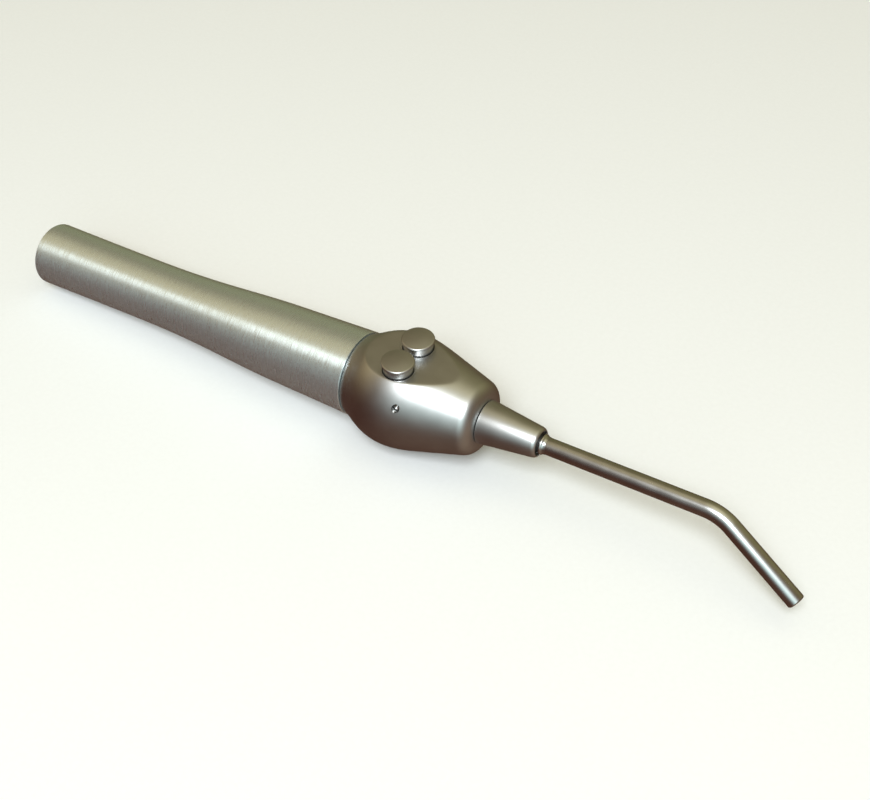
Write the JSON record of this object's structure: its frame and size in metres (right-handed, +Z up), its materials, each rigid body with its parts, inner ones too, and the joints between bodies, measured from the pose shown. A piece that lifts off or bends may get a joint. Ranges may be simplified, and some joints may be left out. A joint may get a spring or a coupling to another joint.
{
  "type": "dental three-way syringe",
  "caption": "Slim turned metal handle with a bulged valve head, two push buttons on a flat facet and a bent swivelling nozzle that blows air, water or spray.",
  "frame": {"origin": "middle of the underside of the bounding box, on the surface that the instrument lies on", "axes": "+X along the instrument towards the nozzle (the handle's axis rises 3 degrees towards the head), +Z up, square to the button facet and along the buttons' travel, +Y to the left seen from the hose end"},
  "size_m": [0.2088, 0.0272, 0.0275],
  "materials": {
    "brushed_steel": "satin, turned lines around the handle",
    "blasted_steel": "fine bead-blasted satin",
    "polished_steel": "fine polished steel",
    "spring_steel": "drawn wire",
    "brass": "machined",
    "seal_rubber": "matte black"
  },
  "bodies": {
    "syringe_body": {"handle_sleeve": "brushed_steel", "head_body": "blasted_steel", "nose_cone": "blasted_steel", "air_line": "polished_steel", "water_line": "polished_steel", "cross_pin": "polished_steel", "air_valve_spring": "spring_steel", "water_valve_spring": "spring_steel", "nozzle_snap_ring": "spring_steel", "air_valve_bush": "brass", "water_valve_bush": "brass", "hose_coupling": "brass", "air_barb": "brass", "water_barb": "brass", "sleeve_o_ring": "seal_rubber", "coupling_o_ring": "seal_rubber"},
    "air_button": {"air_button": "blasted_steel", "air_valve_stem": "polished_steel", "air_stem_o_ring": "seal_rubber", "air_poppet_o_ring": "seal_rubber"},
    "water_button": {"water_button": "blasted_steel", "water_valve_stem": "polished_steel", "water_stem_o_ring": "seal_rubber", "water_poppet_o_ring": "seal_rubber"},
    "nozzle": {"nozzle_tube": "polished_steel", "nozzle_water_tube": "polished_steel", "nozzle_ferrule": "polished_steel", "nozzle_rear_o_ring": "seal_rubber", "nozzle_front_o_ring": "seal_rubber"}
  },
  "joints": [
    {"name": "air_button_press", "type": "slide", "parent": "syringe_body", "child": "air_button", "axis": [0, 0, -1], "range_m": [0, 0.0015], "stiffness_N_per_m": 1500, "springref_m": -0.0015, "deforming": ["air_valve_spring"]},
    {"name": "water_button_press", "type": "slide", "parent": "syringe_body", "child": "water_button", "axis": [0, 0, -1], "range_m": [0, 0.0015], "stiffness_N_per_m": 1500, "springref_m": -0.0015, "deforming": ["water_valve_spring"]},
    {"name": "nozzle_swivel", "type": "hinge", "parent": "syringe_body", "child": "nozzle", "pos_m": [0.00683, 0, 0.01372], "axis": [0.9987, 0, 0.0519], "continuous": true}
  ]
}
